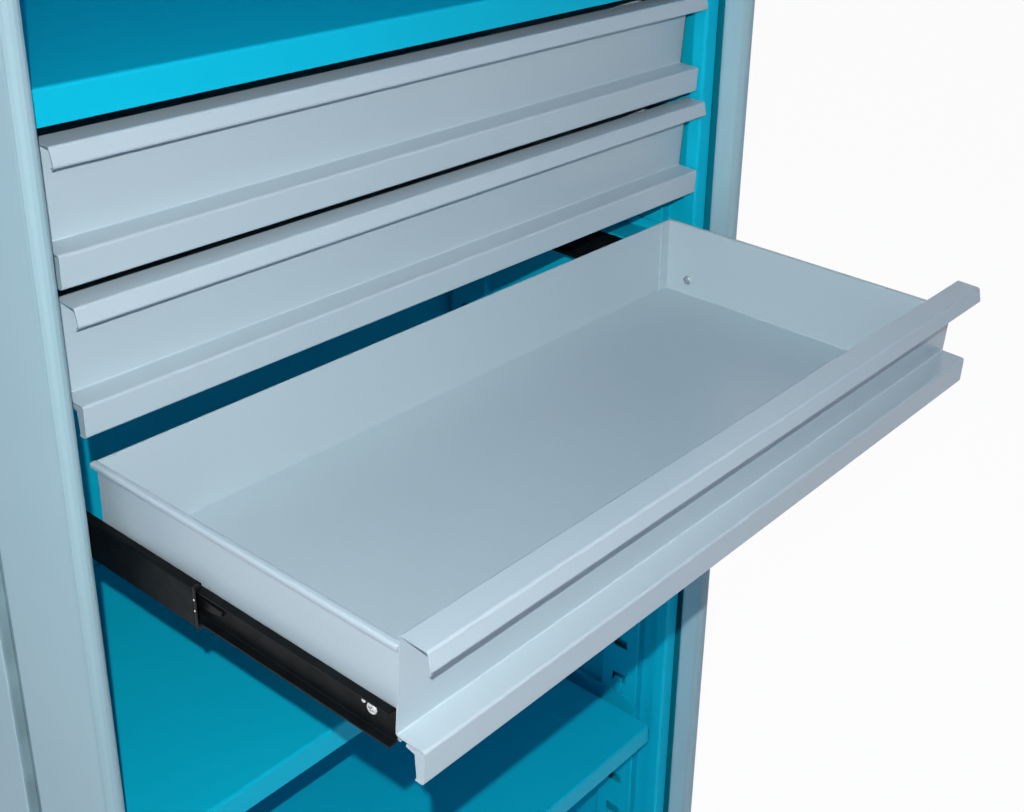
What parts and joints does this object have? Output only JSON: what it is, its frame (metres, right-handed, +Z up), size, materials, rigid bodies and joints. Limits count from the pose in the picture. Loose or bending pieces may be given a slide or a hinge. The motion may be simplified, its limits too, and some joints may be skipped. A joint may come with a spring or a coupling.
{
  "type": "tool cabinet",
  "caption": "Tall open-fronted steel tool cabinet with pull-out shallow drawers on telescopic runners and adjustable shelves.",
  "frame": {"origin": "on the floor, centre of the front plinth's foot flange, midway between the sides", "axes": "+Z up, +Y to the back of the cabinet, +X to the right seen from the front"},
  "size_m": [0.72, 0.673, 1.8],
  "materials": {
    "body_paint": "blue-grey powder coat, fine orange peel",
    "drawer_paint": "pale blue-grey powder coat, fine orange peel",
    "inner_paint": "turquoise powder coat, satin",
    "runner_steel": "black passivated, oiled",
    "screw_steel": "zinc plated"
  },
  "bodies": {
    "cabinet": {"left_pillar": "body_paint", "left_side_panel": "body_paint", "left_liner": "inner_paint", "left_front_upright": "inner_paint", "left_rear_upright": "inner_paint", "right_pillar": "body_paint", "right_side_panel": "body_paint", "right_liner": "inner_paint", "right_front_upright": "inner_paint", "right_rear_upright": "inner_paint", "back_panel": "body_paint", "back_liner": "inner_paint", "roof": "body_paint", "floor_deck": "inner_paint", "ceiling": "inner_paint", "plinth_front": "body_paint", "plinth_rear": "body_paint", "upper_shelf": "inner_paint", "upper_shelf_left_bracket": "inner_paint", "upper_shelf_right_bracket": "inner_paint", "middle_shelf": "inner_paint", "middle_shelf_left_bracket": "inner_paint", "middle_shelf_right_bracket": "inner_paint", "lower_shelf": "inner_paint", "lower_shelf_left_bracket": "inner_paint", "lower_shelf_right_bracket": "inner_paint", "drawer_1_left_runner_outer": "runner_steel", "drawer_1_right_runner_outer": "runner_steel", "drawer_1_right_runner_bracket": "inner_paint", "drawer_2_left_runner_outer": "runner_steel", "drawer_2_right_runner_outer": "runner_steel", "drawer_2_right_runner_bracket": "inner_paint", "drawer_3_left_runner_outer": "runner_steel", "drawer_3_right_runner_outer": "runner_steel", "drawer_3_right_runner_bracket": "inner_paint"},
    "drawer_1": {"drawer_1_front": "drawer_paint", "drawer_1_tray": "drawer_paint", "drawer_1_left_runner_inner": "runner_steel", "drawer_1_left_screw": "screw_steel", "drawer_1_right_runner_inner": "runner_steel", "drawer_1_right_screw": "screw_steel"},
    "drawer_1_middle": {"drawer_1_left_runner_middle": "runner_steel", "drawer_1_right_runner_middle": "runner_steel"},
    "drawer_2": {"drawer_2_front": "drawer_paint", "drawer_2_tray": "drawer_paint", "drawer_2_left_runner_inner": "runner_steel", "drawer_2_left_screw": "screw_steel", "drawer_2_right_runner_inner": "runner_steel", "drawer_2_right_screw": "screw_steel"},
    "drawer_2_middle": {"drawer_2_left_runner_middle": "runner_steel", "drawer_2_right_runner_middle": "runner_steel"},
    "drawer_3": {"drawer_3_front": "drawer_paint", "drawer_3_tray": "drawer_paint", "drawer_3_left_runner_inner": "runner_steel", "drawer_3_left_screw": "screw_steel", "drawer_3_right_runner_inner": "runner_steel", "drawer_3_right_screw": "screw_steel"},
    "drawer_3_middle": {"drawer_3_left_runner_middle": "runner_steel", "drawer_3_right_runner_middle": "runner_steel"}
  },
  "joints": [
    {"name": "drawer_1_slide", "type": "slide", "parent": "cabinet", "child": "drawer_1", "axis": [0, -1, 0], "range_m": [0, 0.304]},
    {"name": "drawer_1_middle_slide", "type": "slide", "parent": "cabinet", "child": "drawer_1_middle", "axis": [0, -1, 0], "range_m": [0, 0.152]},
    {"name": "drawer_2_slide", "type": "slide", "parent": "cabinet", "child": "drawer_2", "axis": [0, -1, 0], "range_m": [-0.0055, 0.2985]},
    {"name": "drawer_2_middle_slide", "type": "slide", "parent": "cabinet", "child": "drawer_2_middle", "axis": [0, -1, 0], "range_m": [-0.00275, 0.14925]},
    {"name": "drawer_3_slide", "type": "slide", "parent": "cabinet", "child": "drawer_3", "axis": [0, -1, 0], "range_m": [-0.304, 0]},
    {"name": "drawer_3_middle_slide", "type": "slide", "parent": "cabinet", "child": "drawer_3_middle", "axis": [0, -1, 0], "range_m": [-0.152, 0]}
  ],
  "couplings": [
    {"joint": "drawer_1_middle_slide", "follows": "drawer_1_slide", "ratio": 0.5},
    {"joint": "drawer_2_middle_slide", "follows": "drawer_2_slide", "ratio": 0.5},
    {"joint": "drawer_3_middle_slide", "follows": "drawer_3_slide", "ratio": 0.5}
  ]
}
